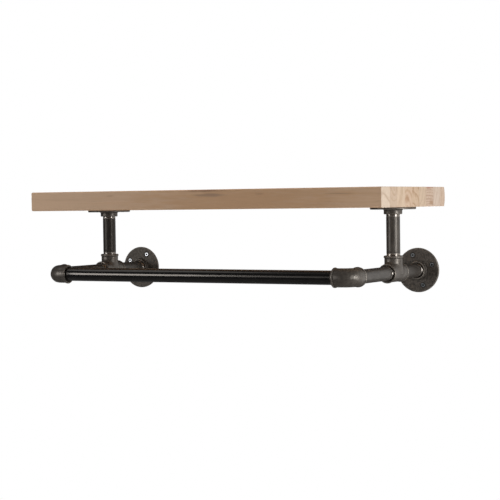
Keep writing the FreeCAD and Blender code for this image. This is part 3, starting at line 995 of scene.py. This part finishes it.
# A pith lies sideways and up from its stave's middle. A ring's width is a year's growth.
Stave = namedtuple("Stave", "pith ring_width wander tint end_pale end_dark")
STAVES = {
    1: Stave((-0.0195, -0.0606), 0.030, 0.020, 1.00, (0.64, 0.52, 0.405, 1.0), (0.46, 0.335, 0.235, 1.0)),
    2: Stave((0.003, 0.016), 0.011, 0.010, 0.93, (0.545, 0.415, 0.305, 1.0), (0.45, 0.315, 0.215, 1.0)),
    3: Stave((-0.046, 0.012), 0.022, 0.016, 0.98, (0.615, 0.475, 0.35, 1.0), (0.50, 0.36, 0.245, 1.0)),
    4: Stave((-0.006, -0.022), 0.015, 0.012, 0.91, (0.595, 0.44, 0.318, 1.0), (0.475, 0.32, 0.205, 1.0)),
    5: Stave((-0.0164, -0.0286), 0.017, 0.012, 0.96, (0.58, 0.43, 0.30, 1.0), (0.39, 0.24, 0.14, 1.0)),
    6: Stave((-0.030, 0.014), 0.015, 0.014, 0.94, (0.605, 0.465, 0.338, 1.0), (0.51, 0.37, 0.26, 1.0)),
    7: Stave((0.000, -0.150), 0.0056, 0.006, 0.92, (0.59, 0.445, 0.335, 1.0), (0.40, 0.25, 0.17, 1.0)),
    8: Stave((-0.060, 0.030), 0.016, 0.016, 0.98, (0.66, 0.53, 0.425, 1.0), (0.57, 0.43, 0.33, 1.0)),
    9: Stave((-0.090, 0.004), 0.012, 0.012, 0.99, (0.645, 0.49, 0.37, 1.0), (0.52, 0.36, 0.255, 1.0)),
}
# Knots and heartwood streaks. A spot is a place along and up, a reach is half a length and half a height.
Mark = namedtuple("Mark", "spot reach colour strength")
FRONT_MARKS = (
    Mark((0.090, 0.146), (0.340, 0.060), (0.595, 0.330, 0.155, 1.0), 0.72),
    Mark((0.020, 0.1625), (0.060, 0.0035), (0.33, 0.165, 0.085, 1.0), 0.85),
    Mark((0.030, 0.1545), (0.040, 0.0048), (0.36, 0.215, 0.130, 1.0), 0.8),
    Mark((-0.196, 0.1550), (0.012, 0.0035), (0.40, 0.230, 0.130, 1.0), 0.4),
    Mark((0.138, 0.1550), (0.014, 0.0025), (0.36, 0.200, 0.110, 1.0), 0.45),
    Mark((0.300, 0.1535), (0.034, 0.0018), (0.36, 0.215, 0.130, 1.0), 0.5),
)
# Darker patches in the end wood of some staves, with each spot a place sideways and up
END_MARKS = {
    2: (Mark((-0.2760, 0.1630), (0.005, 0.004), (0.40, 0.260, 0.180, 1.0), 0.6),),
    4: (Mark((-0.1990, 0.1430), (0.013, 0.011), (0.38, 0.225, 0.130, 1.0), 0.8),),
    5: (Mark((-0.1690, 0.1600), (0.007, 0.009), (0.38, 0.225, 0.130, 1.0), 0.75),),
    7: (
        Mark((-0.0900, 0.1640), (0.020, 0.0040), (0.42, 0.220, 0.165, 1.0), 0.9),
        Mark((-0.0790, 0.1345), (0.017, 0.0055), (0.38, 0.235, 0.140, 1.0), 0.8),
    ),
}
FRONT_STAVE, BACK_STAVE = min(STAVES), max(STAVES)

for number, stave in STAVES.items():
    node = f"board_stave_{number}"
    low, high = corners(node)
    centre = middle(node)
    pith = (centre.y + stave.pith[0], centre.z + stave.pith[1])
    glue_lines = []
    if number != FRONT_STAVE:
        glue_lines.append(low.y)
    if number != BACK_STAVE:
        glue_lines.append(high.y)
    front_marks = FRONT_MARKS if number == FRONT_STAVE else ()
    wood = stave_wood(node, pith, stave, glue_lines, front_marks, END_MARKS.get(number, ()))
    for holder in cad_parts[node].material_slots:
        holder.material = wood


# Stage, light and camera

WHITE = (1.0, 1.0, 1.0, 1.0)
FLOOR_DROP = 1.3
FLOOR_RADIUS = 2.4
FLOOR_SIDES = 96
FLOOR_TONES = ((0.80, 0.80, 0.80, 1.0), (0.84, 0.84, 0.84, 1.0))
FLOOR_PALENESS = 0.8
FLOOR_MIRRORED = 0.16
FLOOR_MIRRORED_TONE = (1.0, 0.98, 0.96, 1.0)
ROOM_TONE = (1.0, 0.99, 0.98, 1.0)
ROOM_LEVEL = 0.07
ROOM_ABOVE = 0.12
ROOM_ABOVE_FADE = (0.65, 0.95)
BACKDROP_WAY = (0.75, 0.66, 0.0)
BACKDROP_FADE = (0.6, 0.95)
# Place, target, width and height, power, and whether shiny pieces mirror it
SOFTBOXES = {
    "key_right": ((1.22, -0.42, 0.06), (0.36, -0.20, 0.06), (0.55, 0.55), 5.3, True),
    "key_core": ((1.22, -0.42, 0.03), (0.36, -0.20, 0.06), (0.20, 0.20), 2.8, True),
    "fill_left": ((-2.05, -2.65, 0.38), (0.0, -0.30, 0.06), (1.25, 1.10), 35.0, True),
    "fill_edge": ((-1.22, -2.95, 0.38), (0.0, -0.30, 0.06), (0.45, 1.00), 1.6, True),
    "overhead_left": ((-1.2, -0.7, 1.6), (-0.1, -0.30, 0.0), (0.9, 0.8), 2.2, True),
    "low_right": ((0.95, -0.15, -1.10), (0.33, -0.20, 0.0), (0.80, 0.60), 4.6, False),
    "over_board": ((0.0, -0.08, 1.55), (0.0, -0.08, 0.0), (0.90, 0.14), 11.0, True),
    "behind_left": ((-0.5, 1.70, 0.60), (-0.1, 0.0, 0.06), (1.10, 0.80), 9.0, False),
}
CAMERA_PLACE = (1.4923, -2.8435, 0.1402)
CAMERA_AZIMUTH = math.radians(28.57)
CAMERA_DIP = math.radians(1.80)
CAMERA_ROLL = math.radians(0.74)
CAMERA_RANGE = 50.0
SENSOR_WIDTH = 36.0
FOCAL_PIXELS = 1530.23
PICTURE_PIXELS = 500


def ray_masks(nodes):
    """Masks of the rays that leave the camera, and of those that a shiny or clear piece sends on."""
    rays = nodes.add("ShaderNodeLightPath").node.outputs
    mirrored = nodes.math("MAXIMUM", rays["Is Glossy Ray"], rays["Is Transmission Ray"])
    return rays["Is Camera Ray"], mirrored


def pale_floor():
    """A plain pale floor that keeps the shadow of the object. The glossy pipes mirror it only dimly."""
    material, n, shader, place = new_finish("pale_floor")
    n.set(shader, Base_Color=n.mix(n.noise(place, scale=3.0), *FLOOR_TONES), Roughness=0.9)
    dim = n.add("ShaderNodeEmission", FLOOR_MIRRORED_TONE, FLOOR_MIRRORED)
    pale = n.add("ShaderNodeEmission", WHITE, 1.0)
    seen, mirrored = ray_masks(n)
    shown = n.add("ShaderNodeMixShader", n.times(seen, FLOOR_PALENESS), shader.outputs["BSDF"], pale)
    shown = n.add("ShaderNodeMixShader", mirrored, shown, dim)
    n.set(material.node_tree.nodes["Material Output"], Surface=shown)
    turns = np.linspace(0, math.tau, FLOOR_SIDES, endpoint=False)
    rim = [(FLOOR_RADIUS * math.cos(turn), FLOOR_RADIUS * math.sin(turn), -FLOOR_DROP) for turn in turns]
    mesh = bpy.data.meshes.new("floor")
    mesh.from_pydata(rim, [], [list(range(len(rim)))])
    mesh.materials.append(material)
    floor = bpy.data.objects.new("floor", mesh)
    scene.collection.objects.link(floor)


def studio_world():
    """A dim room, white all round to the camera, with a white backdrop behind the object on the right."""
    world = bpy.data.worlds.new("studio")
    world.use_nodes = True
    world.node_tree.nodes.clear()
    n = Nodes(world.node_tree)
    way = n.add("ShaderNodeTexCoord").node.outputs["Generated"]
    above = n.ramp(n.parts(way)[Z], *ROOM_ABOVE_FADE)
    room = n.add("ShaderNodeBackground", ROOM_TONE, n.level(ROOM_LEVEL, (above, ROOM_ABOVE)))
    white = n.add("ShaderNodeBackground", WHITE, 1.0)
    backdrop = n.ramp(n.measure("DOT_PRODUCT", way, BACKDROP_WAY), *BACKDROP_FADE)
    seen, mirrored = ray_masks(n)
    bright = n.math("MAXIMUM", seen, n.times(mirrored, backdrop))
    output = world.node_tree.nodes.new("ShaderNodeOutputWorld")
    n.set(output, Surface=n.add("ShaderNodeMixShader", bright, room, white))
    scene.world = world


def softbox(name, place, target, size, power, mirrored):
    light = bpy.data.lights.new(name, "AREA")
    light.shape = "RECTANGLE"
    light.size, light.size_y = size
    light.energy = power
    item = bpy.data.objects.new(name, light)
    item.visible_glossy = mirrored
    item.location = place
    item.rotation_euler = (Vector(target) - Vector(place)).to_track_quat("-Z", "Y").to_euler()
    scene.collection.objects.link(item)


def photograph_camera():
    data = bpy.data.cameras.new("camera")
    data.sensor_width = SENSOR_WIDTH
    data.lens = FOCAL_PIXELS * SENSOR_WIDTH / PICTURE_PIXELS
    data.clip_end = CAMERA_RANGE
    forward = Vector((
        -math.sin(CAMERA_AZIMUTH) * math.cos(CAMERA_DIP),
        math.cos(CAMERA_AZIMUTH) * math.cos(CAMERA_DIP),
        -math.sin(CAMERA_DIP),
    ))
    level = Vector((math.cos(CAMERA_AZIMUTH), math.sin(CAMERA_AZIMUTH), 0.0))
    up = level.cross(forward)
    right = math.cos(CAMERA_ROLL) * level - math.sin(CAMERA_ROLL) * up
    top = math.sin(CAMERA_ROLL) * level + math.cos(CAMERA_ROLL) * up
    turn = Matrix((right, top, -forward)).transposed().to_4x4()
    camera = bpy.data.objects.new("camera", data)
    camera.matrix_world = Matrix.Translation(CAMERA_PLACE) @ turn
    scene.collection.objects.link(camera)
    scene.camera = camera


pale_floor()
studio_world()
for light_name, light_values in SOFTBOXES.items():
    softbox(light_name, *light_values)
photograph_camera()
scene.view_settings.view_transform = "Standard"
